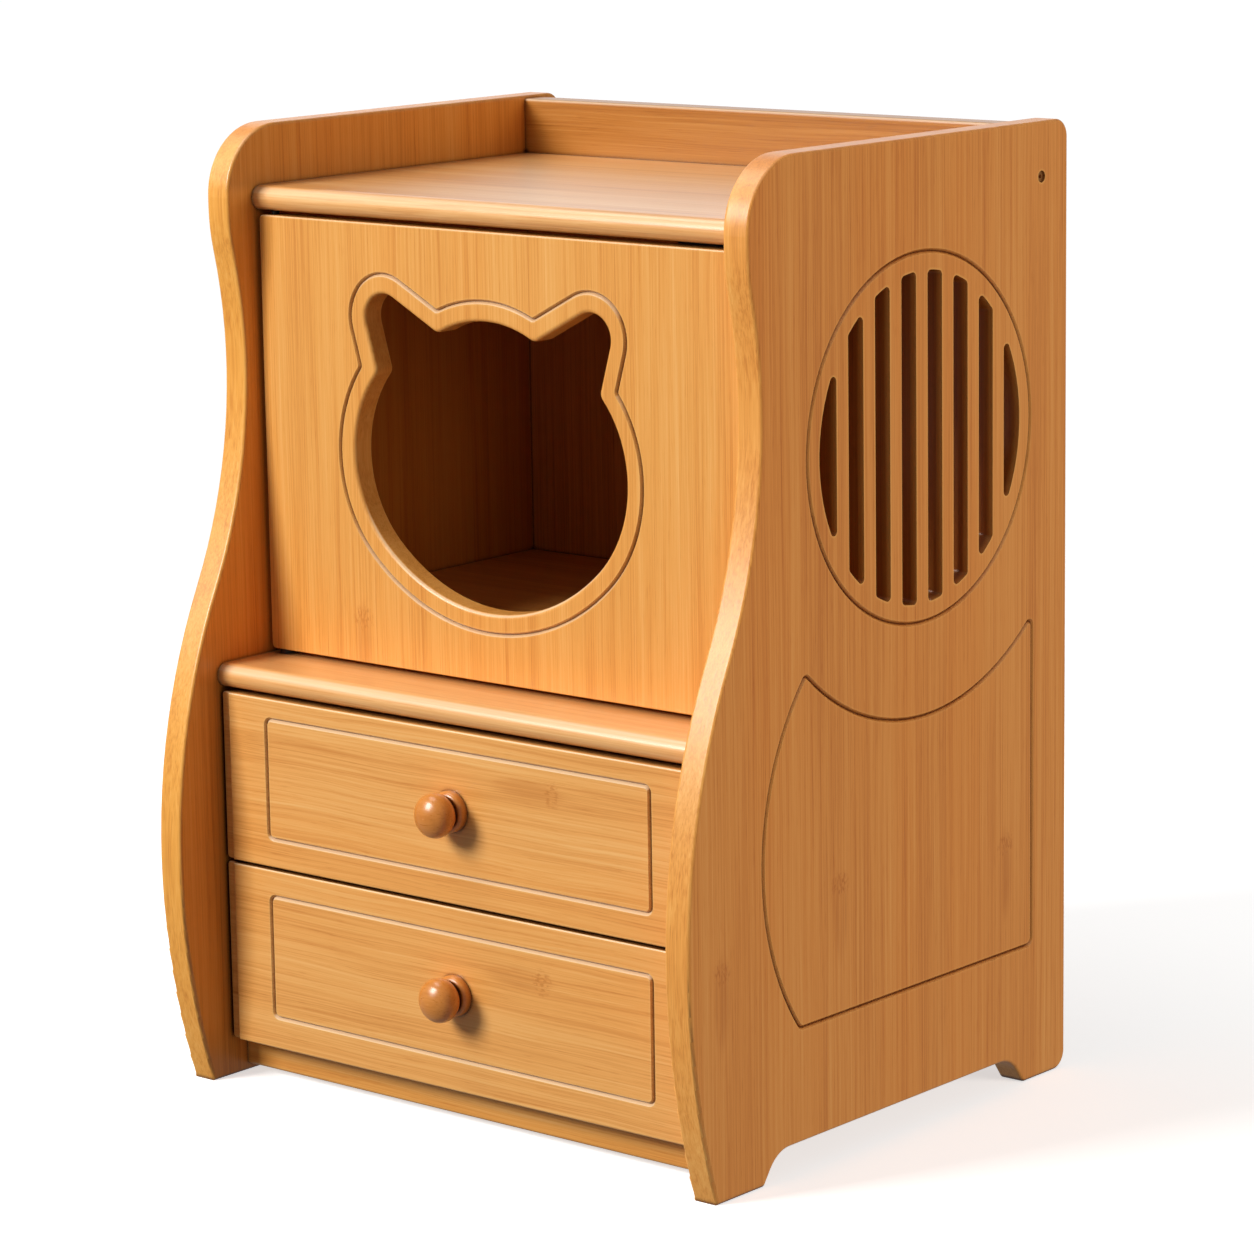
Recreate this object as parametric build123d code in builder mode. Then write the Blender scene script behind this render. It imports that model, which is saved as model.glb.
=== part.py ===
# Nightstand cat bed: a bamboo bedside cabinet with a cat room behind a hinged door and two drawers below.
# X runs to the right along the front, the front faces -Y, and Z is up.
# The origin is on the floor under the middle of the cabinet. Lengths are in millimetres.
# A depth is a distance forward of the side panels' rear edge.

import os
from math import atan2, cos, degrees, radians, sin, sqrt

from build123d import *

os.makedirs("parts", exist_ok=True)

# Whole cabinet
cabinet_width = 420.0
cabinet_height = 590.0
panel_thickness = 18.0

# Side panel outline
bulge_depth = 368.0
bulge_height = 145.0
waist_depth = 298.0
waist_drop = 145.0
waist_radius = 305.0
shoulder_depth = 309.0
shoulder_radius = 120.0
top_corner_radius = 43.0
foot_depth = 345.0
rear_corner_radius = 11.0
panel_edge_radius = 2.0

# Arch between the feet
arch_height = 18.0
front_foot_length = 43.0
rear_foot_length = 44.0
arch_slope = 54.0
arch_radius = 22.0
foot_corner_radius = 3.0

# Vent in the right panel, with its engraved ring
vent_depth = 148.0
vent_drop = 175.0
vent_radius = 98.0
vent_ring_radius = 109.0
slot_count = 8
slot_width = 14.2
slot_pitch = 25.4
slot_corner_radius = 3.0

# Engraved lines
line_width = 3.0
line_depth = 1.8

# Engraved shape below the vent, its top arc concentric with the vent
emblem_top_radius = 165.5
emblem_front_depth = 260.0
emblem_rear_depth = 36.5
emblem_bottom = 86.5
emblem_bottom_front_depth = 267.0
emblem_front_radius = 162.0
emblem_tip_radius = 3.0
emblem_base_radius = 5.0

# Rear gallery rail and back panel
rail_thickness = 18.0
rail_rear_inset = 17.0
rail_height = 61.0
rail_drop = 2.0
back_thickness = 9.0
back_groove_depth = 6.0
groove_clearance = 0.15
gallery_screw_drop = 33.0
gallery_screw_depth = 27.5

# Top board and mid shelf
board_thickness = 15.0
top_board_drop = 52.0
top_board_overhang = 2.5
shelf_drop = 342.0
shelf_overhang = 0.0

# Cat room floor on its cleats
floor_thickness = 12.0
cleat_height = 16.0
cleat_width = 16.0
cleat_end_gap = 10.0
floor_side_gap = 1.0
floor_door_gap = 5.0
floor_edge_radius = 1.5

# Bottom board and front base rail
bottom_thickness = 12.0
base_rail_bottom = 4.5
base_rail_height = 31.5
base_rail_thickness = 18.0

# Door with the cat-head opening
door_thickness = 15.0
door_face_depth = 286.0
door_side_gap = 3.0
door_top_gap = 2.5
door_bottom_gap = 3.0
door_corner_radius = 3.0
door_edge_radius = 1.2
opening_edge_radius = 2.5

# Cat head, measured from its own centre line, with heights above the door's bottom edge
head_offset = -6.5
head_bottom_rise = 42.0
chin_radius = 122.0
cheek_radius = 74.0
cheek_reach = 107.0
head_top_rise = 216.3
crown_radius = 79.2
ear_reach = 81.0
ear_rise = 212.3
ear_radius = 15.0
ear_outer_normal = -16.0
ear_inner_normal = 117.7
ear_root_radius = 6.0
crown_root_radius = 7.0
head_line_gap = 12.0
head_line_corner = 3.0

# Door pivots
pivot_from_edge = 7.5
pivot_behind_face = 7.0
pin_radius = 2.5
pin_clearance = 0.05
press_clearance = 0.02
bush_radius = 3.5
bush_length = 12.0
bush_recess = 0.3
pin_in_door = 20.0
pin_end_gap = 0.3
pin_chamfer = 0.4
washer_radius = 5.0
running_gap = 0.3

# Magnetic catch behind the door's top right corner
catch_width = 46.0
catch_depth = 14.0
catch_height = 12.0
catch_from_side = 42.0
magnet_width = 26.0
magnet_height = 5.0
magnet_depth = 8.0
magnet_margin = 2.0
catch_corner_radius = 2.0
strike_thickness = 1.2
strike_width = 38.0
strike_height = 11.0
strike_from_top = 1.0
catch_screw_spread = 36.0

# Drawers
drawer_face_depth = 331.0
front_thickness = 15.0
front_side_gap = 1.2
lip_width = 7.0
lip_setback = 2.0
front_corner_radius = 2.5
front_edge_radius = 1.2
lower_front_bottom = 25.0
front_gap = 2.0
upper_front_share = 0.4817
box_side_clearance = 2.5
box_side_thickness = 10.0
box_length = 268.0
box_top_gap = 4.0
drawer_bottom_thickness = 5.0
drawer_bottom_rise = 8.0
drawer_groove_depth = 5.0
drawer_travel = 195.0

# Routed rectangle on each drawer front
panel_line_width = 304.0
upper_line_top_margin = 12.5
upper_line_bottom_margin = 18.0
lower_line_top_margin = 16.5
lower_line_bottom_margin = 20.0
panel_line_corner = 4.0

# Knobs
knob_head_radius = 13.5
knob_head_thickness = 20.0
knob_rim_radius = 8.5
knob_rise = 1.5
knob_base_radius = 12.5
knob_base_thickness = 6.0
knob_neck_radius = 8.5
knob_projection = 25.0
knob_bore_radius = 2.0

# Drawer runners
runner_width = 16.0
runner_height = 12.0
lower_runner_height = 8.0
runner_end_gap = 3.0

# Hidden fixings
dowel_radius = 4.0
dowel_length = 30.0
dowel_in_panel = 12.0
dowel_inset = 30.0
rail_dowel_drop = 16.0
small_dowel_radius = 3.0
small_dowel_length = 24.0
small_dowel_in_panel = 8.0
small_dowel_in_front = 9.0
small_dowel_in_side = 7.0
base_dowel_inset = 40.0
box_dowel_rise = 20.0
box_dowel_drop = 20.0
cam_radius = 7.5
cam_height = 11.5
cam_from_end = 24.0
cam_inset = 70.0
cam_slot_width = 1.6
cam_slot_length = 9.0
cam_slot_depth = 1.2
bolt_radius = 3.0
bolt_in_panel = 10.0
screw_head_height = 2.2
drive_radius = 1.3
drive_depth = 1.4
batten_screw_radius = 1.75
batten_screw_length = 26.0
batten_screw_inset = 40.0
batten_head_radius = 3.0
gallery_screw_radius = 2.0
gallery_screw_length = 45.0
gallery_head_radius = 3.6
gallery_head_recess = 1.2
catch_screw_radius = 1.5
catch_screw_length = 20.0
catch_head_radius = 2.5
strike_screw_radius = 1.25
strike_screw_length = 9.0
strike_head_radius = 2.6
knob_screw_radius = 2.0
knob_screw_in_knob = 12.0
knob_screw_head_radius = 4.0
knob_screw_head_height = 2.5
knob_hole_clearance = 0.25

# Places that follow from the sizes above
rear_y = bulge_depth / 2
half_width = cabinet_width / 2
inner_x = half_width - panel_thickness
rail_front_depth = rail_rear_inset + rail_thickness
rail_top = cabinet_height - rail_drop
rail_bottom = rail_top - rail_height
waist_height = cabinet_height - waist_drop
vent_height = cabinet_height - vent_drop
top_board_bottom = cabinet_height - top_board_drop
shelf_bottom = cabinet_height - shelf_drop
top_nose_depth = door_face_depth + top_board_overhang
shelf_nose_depth = drawer_face_depth + shelf_overhang
shelf_top = shelf_bottom + board_thickness
back_rear_depth = rail_front_depth - back_thickness
door_bottom = shelf_top + door_bottom_gap
door_top = top_board_bottom - door_top_gap
head_bottom = door_bottom + head_bottom_rise
head_top = door_bottom + head_top_rise
ear_height = door_bottom + ear_rise
door_half_width = inner_x - door_side_gap
door_back_depth = door_face_depth - door_thickness
pivot_x = pivot_from_edge - door_half_width
pivot_depth = door_face_depth - pivot_behind_face
floor_bottom = shelf_top + cleat_height
floor_front_depth = door_back_depth - floor_door_gap
base_rail_front_depth = drawer_face_depth - front_thickness - running_gap
base_rail_rear_depth = base_rail_front_depth - base_rail_thickness
bottom_board_top = arch_height + bottom_thickness
fronts_height = shelf_bottom - front_gap - lower_front_bottom - front_gap
upper_front_height = fronts_height * upper_front_share
lower_front_height = fronts_height - upper_front_height
upper_front_bottom = lower_front_bottom + lower_front_height + front_gap
upper_line_height = upper_front_height - upper_line_top_margin - upper_line_bottom_margin
lower_line_height = lower_front_height - lower_line_top_margin - lower_line_bottom_margin
front_back_depth = drawer_face_depth - front_thickness
box_rear_depth = front_back_depth - box_length
lower_box_bottom = bottom_board_top + lower_runner_height + running_gap
upper_runner_bottom = upper_front_bottom - running_gap
upper_box_bottom = upper_runner_bottom + runner_height + running_gap
lower_box_top = upper_runner_bottom - box_top_gap
upper_box_top = shelf_bottom - box_top_gap
box_half_width = inner_x - box_side_clearance


def y_at(depth):
    """The Y of a plane so far forward of the side panels' rear edge."""
    return rear_y - depth


def keep(piece, label):
    """Names a finished piece and writes it."""
    piece.part.label = label
    export_step(piece.part, f"parts/{label}.step")


def rod(start, end, radius, mode=Mode.ADD):
    """A cylinder between two points that differ along one axis, added to or cut from the open part."""
    along = Vector(*end) - Vector(*start)
    with Locations(Plane(origin=start, z_dir=along)):
        Cylinder(radius, along.length, align=(Align.CENTER, Align.CENTER, Align.MIN), mode=mode)


def block(x, y, z, mode=Mode.ADD):
    """A box between two limits on each axis, added to or cut from the open part."""
    with Locations(((x[0] + x[1]) / 2, (y[0] + y[1]) / 2, (z[0] + z[1]) / 2)):
        Box(abs(x[1] - x[0]), abs(y[1] - y[0]), abs(z[1] - z[0]), mode=mode)


def cut_line(path, face_plane):
    """Cuts a V-shaped engraved line along a closed path on a face of the open part."""
    start = Plane(origin=path @ 0, z_dir=path % 0, x_dir=(path % 0).cross(face_plane.z_dir))
    with BuildSketch(start) as v_profile:
        with BuildLine():
            Polyline(
                (-line_width / 2, 0),
                (0, line_depth * inward(start, face_plane)),
                (line_width / 2, 0),
                close=True,
            )
        make_face()
    sweep(sections=v_profile.sketch, path=path, mode=Mode.SUBTRACT)


def inward(profile_plane, face_plane):
    """The sign that takes the profile plane's Y into the material behind the face."""
    return -1 if profile_plane.y_dir.dot(face_plane.z_dir) > 0 else 1


def spread(rear_depth, front_depth, inset):
    """Two depths, each so far inside the ends of a piece."""
    return [rear_depth + inset, front_depth - inset]


# Depth and height of each fixing in the side panels
top_board_middle = top_board_bottom + board_thickness / 2
shelf_middle = shelf_bottom + board_thickness / 2
bottom_board_middle = arch_height + bottom_thickness / 2
base_rail_middle_depth = (base_rail_front_depth + base_rail_rear_depth) / 2
base_rail_middle = base_rail_bottom + base_rail_height / 2
rail_middle_depth = (rail_front_depth + rail_rear_inset) / 2
cleat_middle = shelf_top + cleat_height / 2
cleat_front_depth = floor_front_depth - cleat_end_gap
upper_runner_front_depth = front_back_depth - runner_end_gap
lower_runner_front_depth = base_rail_rear_depth
upper_runner_middle = upper_runner_bottom + runner_height / 2
lower_runner_middle = bottom_board_top + lower_runner_height / 2
top_board_dowels = [(d, top_board_middle) for d in spread(rail_front_depth, top_nose_depth, dowel_inset)]
shelf_dowels = [(d, shelf_middle) for d in spread(rail_front_depth, shelf_nose_depth, dowel_inset)]
rail_dowels = [(rail_middle_depth, rail_top - rail_dowel_drop)]
bottom_board_ends = spread(rail_front_depth, base_rail_rear_depth, base_dowel_inset)
bottom_board_dowels = [(d, bottom_board_middle) for d in bottom_board_ends]
base_rail_dowels = [(base_rail_middle_depth, base_rail_middle)]
top_board_cams = [(d, top_board_middle) for d in spread(rail_front_depth, top_nose_depth, cam_inset)]
shelf_cams = [(d, shelf_middle) for d in spread(rail_front_depth, shelf_nose_depth, cam_inset)]
cleat_ends = spread(rail_front_depth, cleat_front_depth, batten_screw_inset)
upper_runner_ends = spread(rail_front_depth, upper_runner_front_depth, batten_screw_inset)
lower_runner_ends = spread(rail_front_depth, lower_runner_front_depth, batten_screw_inset)
cleat_screws = [(d, cleat_middle) for d in cleat_ends]
upper_runner_screws = [(d, upper_runner_middle) for d in upper_runner_ends]
lower_runner_screws = [(d, lower_runner_middle) for d in lower_runner_ends]
gallery_screw = [(gallery_screw_depth, cabinet_height - gallery_screw_drop)]
batten_screw_spots = cleat_screws + upper_runner_screws + lower_runner_screws


def screw(seat, inward_dir, head_radius, shank_radius, length, mode=Mode.ADD):
    """A countersunk screw from its head's face inwards, or the seat and hole for it."""
    at = Plane(origin=seat, z_dir=inward_dir)
    gap = press_clearance if mode == Mode.SUBTRACT else 0
    low = (Align.CENTER, Align.CENTER, Align.MIN)
    with Locations(at):
        Cone(head_radius + gap, shank_radius + gap, screw_head_height, align=low, mode=mode)
        Cylinder(shank_radius + gap, length + gap, align=low, mode=mode)
    if mode == Mode.ADD:
        with BuildSketch(at) as socket:
            RegularPolygon(drive_radius, 6)
        extrude(socket.sketch, amount=drive_depth, dir=inward_dir, mode=Mode.SUBTRACT)


def drill_side(side, spots, radius, deep_in, deep_out):
    """Cuts holes along X at one side: so deep into the cabinet and so deep into the side panel."""
    end_in = deep_in + press_clearance if deep_in else 0
    end_out = deep_out + press_clearance if deep_out else 0
    for depth, height in spots:
        start = (side * (inner_x - end_in), y_at(depth), height)
        end = (side * (inner_x + end_out), y_at(depth), height)
        rod(start, end, radius + press_clearance, Mode.SUBTRACT)


def fit_gallery_screw(side, mode):
    """The screw through the side panel into the gallery rail, or its hole."""
    for depth, height in gallery_screw:
        seat = (side * (half_width - gallery_head_recess), y_at(depth), height)
        screw(seat, (-side, 0, 0), gallery_head_radius, gallery_screw_radius, gallery_screw_length, mode)


def fit_batten_screws(side, spots, mode):
    """The screws through a batten into the side panel, or their holes."""
    for depth, height in spots:
        seat = (side * (inner_x - runner_width), y_at(depth), height)
        screw(seat, (side, 0, 0), batten_head_radius, batten_screw_radius, batten_screw_length, mode)


def side_outline(inner_face_x):
    """The side panel's outline, with the arch between its feet. In the sketch X is Y and Y is the height."""
    shoulder_y = y_at(shoulder_depth)
    waist_y = y_at(waist_depth)
    bulge_y = y_at(bulge_depth)
    foot_y = y_at(foot_depth)
    reach = bulge_depth - waist_depth
    rise = waist_height - bulge_height
    centres_apart = (reach**2 + rise**2) / (2 * reach)
    bulge_radius = centres_apart - waist_radius
    waist_centre = Vector(waist_y - waist_radius, waist_height)
    bulge_centre = Vector(bulge_y + bulge_radius, bulge_height)
    upper_apart = waist_radius + shoulder_radius
    shoulder_rise = sqrt(upper_apart**2 - (upper_apart - shoulder_depth + waist_depth) ** 2)
    shoulder_centre = Vector(shoulder_y + shoulder_radius, waist_height + shoulder_rise)
    into_waist = waist_centre + (shoulder_centre - waist_centre) * (waist_radius / upper_apart)
    out_of_waist = waist_centre + (bulge_centre - waist_centre) * (waist_radius / centres_apart)
    arch_run = arch_height / sin(radians(arch_slope)) * cos(radians(arch_slope))
    arch_front_y = foot_y + front_foot_length
    arch_rear_y = rear_y - rear_foot_length
    with BuildSketch(Plane.YZ.offset(inner_face_x)) as outline:
        with BuildLine():
            edge = Line((shoulder_y, cabinet_height - top_corner_radius), (shoulder_y, shoulder_centre.Y))
            shoulder = TangentArc(edge @ 1, into_waist, tangent=edge % 1)
            waist = TangentArc(shoulder @ 1, out_of_waist, tangent=shoulder % 1)
            bulge = TangentArc(waist @ 1, (bulge_y, bulge_height), tangent=waist % 1)
            calf = TangentArc(bulge @ 1, (foot_y, 0), tangent=bulge % 1)
            Polyline(
                calf @ 1,
                (arch_front_y, 0),
                (arch_front_y + arch_run, arch_height),
                (arch_rear_y - arch_run, arch_height),
                (arch_rear_y, 0),
                (rear_y, 0),
                (rear_y, cabinet_height),
                (shoulder_y + top_corner_radius, cabinet_height),
            )
            TangentArc(edge @ 0, (shoulder_y + top_corner_radius, cabinet_height), tangent=(0, 1))
        make_face()
        on_rear = outline.vertices().filter_by_position(Axis.X, rear_y - 1, rear_y + 1)
        fillet(on_rear, rear_corner_radius)
        on_arch = outline.vertices().filter_by_position(Axis.Y, arch_height - 1, arch_height + 1)
        fillet(on_arch.filter_by_position(Axis.X, arch_front_y, arch_rear_y), arch_radius)
        on_floor = outline.vertices().filter_by_position(Axis.Y, -1, 1)
        foot_ends = on_floor.filter_by_position(Axis.X, arch_front_y - 1, arch_rear_y + 1)
        fillet(foot_ends, foot_corner_radius)
    return outline.sketch


def emblem_path(face_x):
    """The engraved shape below the vent, as a closed path on a side panel's face."""
    vent_y = y_at(vent_depth)
    front_tip_y = y_at(emblem_front_depth)
    rear_tip_y = y_at(emblem_rear_depth)
    front_tip_z = vent_height - sqrt(emblem_top_radius**2 - (vent_y - front_tip_y) ** 2)
    rear_tip_z = vent_height - sqrt(emblem_top_radius**2 - (vent_y - rear_tip_y) ** 2)
    base_front_y = y_at(emblem_bottom_front_depth)
    with BuildSketch(Plane.YZ.offset(face_x)) as shape:
        with BuildLine():
            low_point = (vent_y, vent_height - emblem_top_radius)
            ThreePointArc((front_tip_y, front_tip_z), low_point, (rear_tip_y, rear_tip_z))
            Polyline((rear_tip_y, rear_tip_z), (rear_tip_y, emblem_bottom), (base_front_y, emblem_bottom))
            RadiusArc((base_front_y, emblem_bottom), (front_tip_y, front_tip_z), emblem_front_radius)
        make_face()
        by_height = shape.vertices().sort_by(Axis.Y)
        fillet(by_height[-2:], emblem_tip_radius)
        by_height = shape.vertices().sort_by(Axis.Y)
        fillet(by_height[:2], emblem_base_radius)
    return shape.sketch.face().outer_wire()


def vent_slots(face_x):
    """The vent's upright slots, cut off by the vent's circle, on a side panel's face."""
    with BuildSketch(Plane.YZ.offset(face_x)) as slots:
        for i in range(slot_count):
            middle = (i - (slot_count - 1) / 2) * slot_pitch
            outermost = i in (0, slot_count - 1)
            reach = vent_radius - abs(middle) + slot_width / 2 if outermost else slot_width
            shift = (reach - slot_width) / 2 * (1 if middle > 0 else -1)
            with Locations((y_at(vent_depth) + middle + shift, vent_height)):
                Rectangle(reach, 2 * vent_radius)
        with Locations((y_at(vent_depth), vent_height)):
            Circle(vent_radius, mode=Mode.INTERSECT)
        fillet(slots.vertices(), slot_corner_radius)
    return slots.sketch


# Side panels
def side_panel(side):
    """A side panel at the left (-1) or right (1), with its engraved lines and hidden holes."""
    face_x = side * half_width
    face_plane = Plane(origin=(face_x, 0, 0), z_dir=(side, 0, 0))
    with BuildPart() as panel:
        extrude(side_outline(side * inner_x), amount=panel_thickness, dir=(side, 0, 0))
        fillet(panel.faces().filter_by(Axis.X).edges(), panel_edge_radius)
        with BuildSketch(Plane.XZ.offset(-y_at(vent_depth))) as ring_profile:
            with BuildLine():
                Polyline(
                    (face_x, vent_height + vent_ring_radius - line_width / 2),
                    (face_x - side * line_depth, vent_height + vent_ring_radius),
                    (face_x, vent_height + vent_ring_radius + line_width / 2),
                    close=True,
                )
            make_face()
        revolve(axis=Axis((0, y_at(vent_depth), vent_height), (1, 0, 0)), mode=Mode.SUBTRACT)
        cut_line(emblem_path(face_x), face_plane)
        groove_x = (side * inner_x, side * (inner_x + back_groove_depth))
        groove_y = (y_at(back_rear_depth - groove_clearance), y_at(rail_front_depth + groove_clearance))
        block(groove_x, groove_y, (arch_height, rail_bottom), Mode.SUBTRACT)
        thick_dowels = top_board_dowels + shelf_dowels + rail_dowels
        thin_dowels = bottom_board_dowels + base_rail_dowels
        screw_bite = batten_screw_length - runner_width
        drill_side(side, thick_dowels, dowel_radius, 0, dowel_in_panel)
        drill_side(side, thin_dowels, small_dowel_radius, 0, small_dowel_in_panel)
        drill_side(side, top_board_cams + shelf_cams, bolt_radius, 0, bolt_in_panel)
        drill_side(side, batten_screw_spots, batten_screw_radius, 0, screw_bite)
        fit_gallery_screw(side, Mode.SUBTRACT)
        for depth, height in gallery_screw:
            seat = (side * (half_width - gallery_head_recess), y_at(depth), height)
            mouth = (face_x, y_at(depth), height)
            rod(seat, mouth, gallery_head_radius + press_clearance, Mode.SUBTRACT)
        if side > 0:
            extrude(vent_slots(inner_x), amount=panel_thickness, dir=(1, 0, 0), mode=Mode.SUBTRACT)
    return panel


side_panel_left = side_panel(-1)
keep(side_panel_left, "side_panel_left")
side_panel_right = side_panel(1)
keep(side_panel_right, "side_panel_right")


# Boards between the side panels
def nosed_board(bottom, rear_depth, nose_depth):
    """The end profile of a board with a full round nose along its front."""
    nose_radius = board_thickness / 2
    with BuildSketch(Plane.YZ.offset(-inner_x)) as profile:
        with Locations((y_at((rear_depth + nose_depth - nose_radius) / 2), bottom + nose_radius)):
            Rectangle(nose_depth - nose_radius - rear_depth, board_thickness)
        with Locations((y_at(nose_depth - nose_radius), bottom + nose_radius)):
            Circle(nose_radius)
    return profile.sketch


def cut_cam_holes(spots, board_bottom):
    """Cuts the cam pockets in a board's underside and the bolt holes in its ends."""
    for side in (-1, 1):
        drill_side(side, spots, bolt_radius, cam_from_end, 0)
        for depth, height in spots:
            x = side * (inner_x - cam_from_end)
            mouth = (x, y_at(depth), board_bottom)
            deep = (x, y_at(depth), board_bottom + cam_height + press_clearance)
            rod(mouth, deep, cam_radius + press_clearance, Mode.SUBTRACT)


bush_hole_depth = bush_length + bush_recess
pivot_y = y_at(pivot_depth)
catch_x = inner_x - catch_from_side
strike_face_depth = door_back_depth - strike_thickness
catch_front_depth = strike_face_depth - running_gap
catch_middle_depth = catch_front_depth - catch_depth / 2
catch_bottom = top_board_bottom - catch_height


def fit_catch_screws(mode):
    """The two screws up through the catch into the top board, or their holes."""
    for end in (-1, 1):
        seat = (catch_x + end * catch_screw_spread / 2, y_at(catch_middle_depth), catch_bottom)
        screw(seat, (0, 0, 1), catch_head_radius, catch_screw_radius, catch_screw_length, mode)


with BuildPart() as top_board:
    extrude(nosed_board(top_board_bottom, rail_front_depth, top_nose_depth), amount=2 * inner_x, dir=(1, 0, 0))
    for side in (-1, 1):
        drill_side(side, top_board_dowels, dowel_radius, dowel_length - dowel_in_panel, 0)
    cut_cam_holes(top_board_cams, top_board_bottom)
    rod(
        (pivot_x, pivot_y, top_board_bottom),
        (pivot_x, pivot_y, top_board_bottom + bush_hole_depth),
        bush_radius + press_clearance,
        Mode.SUBTRACT,
    )
    fit_catch_screws(Mode.SUBTRACT)
keep(top_board, "top_board")

with BuildPart() as mid_shelf:
    extrude(nosed_board(shelf_bottom, rail_front_depth, shelf_nose_depth), amount=2 * inner_x, dir=(1, 0, 0))
    for side in (-1, 1):
        drill_side(side, shelf_dowels, dowel_radius, dowel_length - dowel_in_panel, 0)
    cut_cam_holes(shelf_cams, shelf_bottom)
    rod(
        (pivot_x, pivot_y, shelf_top),
        (pivot_x, pivot_y, shelf_top - bush_hole_depth),
        bush_radius + press_clearance,
        Mode.SUBTRACT,
    )
keep(mid_shelf, "mid_shelf")

with BuildPart() as bottom_board:
    block(
        (-inner_x, inner_x),
        (y_at(rail_front_depth), y_at(base_rail_rear_depth)),
        (arch_height, bottom_board_top),
    )
    for side in (-1, 1):
        drill_side(side, bottom_board_dowels, small_dowel_radius, small_dowel_length - small_dowel_in_panel, 0)
keep(bottom_board, "bottom_board")

with BuildPart() as base_rail:
    block(
        (-inner_x, inner_x),
        (y_at(base_rail_rear_depth), y_at(base_rail_front_depth)),
        (base_rail_bottom, base_rail_bottom + base_rail_height),
    )
    fillet(base_rail.edges().filter_by(Axis.X).group_by(Axis.Z)[0], panel_edge_radius)
    for side in (-1, 1):
        drill_side(side, base_rail_dowels, small_dowel_radius, small_dowel_length - small_dowel_in_panel, 0)
keep(base_rail, "base_rail")

with BuildPart() as gallery_rail:
    block(
        (-inner_x, inner_x),
        (y_at(rail_rear_inset), y_at(rail_front_depth)),
        (rail_bottom, rail_top),
    )
    fillet(gallery_rail.edges().filter_by(Axis.X).group_by(Axis.Z)[-1], panel_edge_radius)
    for side in (-1, 1):
        drill_side(side, rail_dowels, dowel_radius, dowel_length - dowel_in_panel, 0)
        fit_gallery_screw(side, Mode.SUBTRACT)
keep(gallery_rail, "gallery_rail")

with BuildPart() as back_panel:
    half_back = inner_x + back_groove_depth - 2 * groove_clearance
    block((-half_back, half_back), (y_at(back_rear_depth), y_at(rail_front_depth)), (arch_height, rail_bottom))
keep(back_panel, "back_panel")

# Cat room floor on two cleats
with BuildPart() as cat_floor:
    half_floor = inner_x - floor_side_gap
    block(
        (-half_floor, half_floor),
        (y_at(rail_front_depth + floor_side_gap), y_at(floor_front_depth)),
        (floor_bottom, floor_bottom + floor_thickness),
    )
    fillet(cat_floor.edges().filter_by(Axis.X).group_by(Axis.Y)[0], floor_edge_radius)
keep(cat_floor, "cat_floor")


def batten(side, rear_depth, front_depth, bottom, height, spots):
    """A batten along the inside of a side panel, with its screw holes."""
    with BuildPart() as piece:
        x = (side * inner_x, side * (inner_x - runner_width))
        block(x, (y_at(rear_depth), y_at(front_depth)), (bottom, bottom + height))
        fit_batten_screws(side, spots, Mode.SUBTRACT)
    return piece


for side, name in ((-1, "left"), (1, "right")):
    cleat = batten(side, rail_front_depth, cleat_front_depth, shelf_top, cleat_height, cleat_screws)
    keep(cleat, f"cleat_{name}")
    upper_runner = batten(
        side, rail_front_depth, upper_runner_front_depth, upper_runner_bottom, runner_height, upper_runner_screws
    )
    keep(upper_runner, f"upper_runner_{name}")
    lower_runner = batten(
        side, rail_front_depth, lower_runner_front_depth, bottom_board_top, lower_runner_height, lower_runner_screws
    )
    keep(lower_runner, f"lower_runner_{name}")

# Fixings of the cabinet
with BuildPart() as carcase_dowels:
    for side in (-1, 1):
        for depth, height in top_board_dowels + shelf_dowels + rail_dowels:
            start = (side * (inner_x + dowel_in_panel), y_at(depth), height)
            end = (side * (inner_x + dowel_in_panel - dowel_length), y_at(depth), height)
            rod(start, end, dowel_radius)
keep(carcase_dowels, "carcase_dowels")

with BuildPart() as base_dowels:
    for side in (-1, 1):
        for depth, height in bottom_board_dowels + base_rail_dowels:
            start = (side * (inner_x + small_dowel_in_panel), y_at(depth), height)
            end = (side * (inner_x + small_dowel_in_panel - small_dowel_length), y_at(depth), height)
            rod(start, end, small_dowel_radius)
keep(base_dowels, "base_dowels")

with BuildPart() as cam_bolts:
    for side in (-1, 1):
        for depth, height in top_board_cams + shelf_cams:
            start = (side * (inner_x + bolt_in_panel), y_at(depth), height)
            end = (side * (inner_x - cam_from_end), y_at(depth), height)
            rod(start, end, bolt_radius)
keep(cam_bolts, "cam_bolts")

with BuildPart() as cam_discs:
    for side in (-1, 1):
        for depth, height in top_board_cams + shelf_cams:
            x = side * (inner_x - cam_from_end)
            low = height - board_thickness / 2
            rod((x, y_at(depth), low), (x, y_at(depth), low + cam_height), cam_radius)
            rim = x + side * 2 * cam_radius
            bore = bolt_radius + pin_clearance
            rod((x - side * pin_clearance, y_at(depth), height), (rim, y_at(depth), height), bore, Mode.SUBTRACT)
            with Locations((x, y_at(depth), low)):
                Box(cam_slot_width, cam_slot_length, 2 * cam_slot_depth, mode=Mode.SUBTRACT)
keep(cam_discs, "cam_discs")

with BuildPart() as gallery_screws:
    for side in (-1, 1):
        fit_gallery_screw(side, Mode.ADD)
keep(gallery_screws, "gallery_screws")

with BuildPart() as batten_screws:
    for side in (-1, 1):
        fit_batten_screws(side, batten_screw_spots, Mode.ADD)
keep(batten_screws, "batten_screws")

# Door bushes, thrust washer and magnetic catch on the cabinet
bush_bore = pin_radius + pin_clearance
top_bush_low = top_board_bottom + bush_recess
bottom_bush_low = shelf_top - bush_length

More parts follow.
